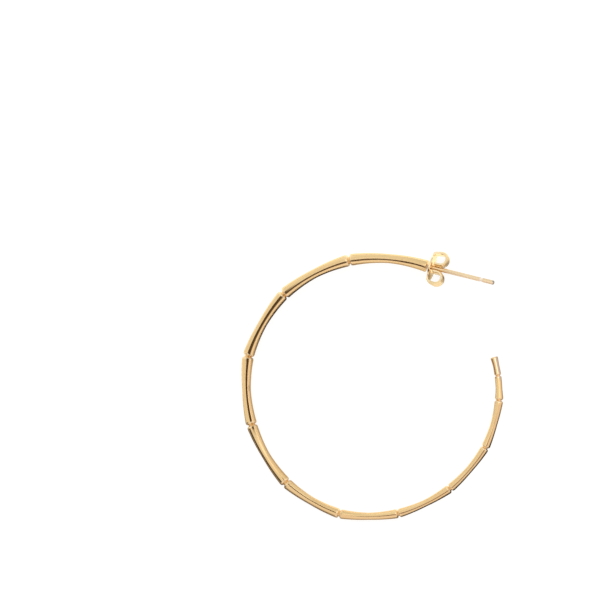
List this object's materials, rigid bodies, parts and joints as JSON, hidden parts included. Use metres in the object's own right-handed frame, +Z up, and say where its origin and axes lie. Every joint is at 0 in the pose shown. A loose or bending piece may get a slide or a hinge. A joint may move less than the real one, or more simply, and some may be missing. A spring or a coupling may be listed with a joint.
{
  "type": "bamboo hoop earring",
  "caption": "Open hoop earring of polished gold-coloured metal shaped like a bamboo cane, with a straight ear post and a sliding butterfly ear nut.",
  "frame": {"origin": "on the surface it lies on, below the middle of the earring's box", "axes": "+Z up from that surface, +X towards the hoop's open side, +Y towards the end with the ear post"},
  "size_m": [0.0504, 0.0506, 0.005],
  "materials": {
    "hoop_gold": "polished yellow gold plating",
    "nut_gold": "polished yellow gold plating"
  },
  "bodies": {
    "hoop": {"bamboo_hoop": "hoop_gold"},
    "nut": {"ear_nut": "nut_gold"}
  },
  "joints": [
    {"name": "nut_slide", "type": "slide", "parent": "hoop", "child": "nut", "axis": [0.9691, -0.2457, 0.0193], "range_m": [-0.0003, 0.0117]}
  ]
}
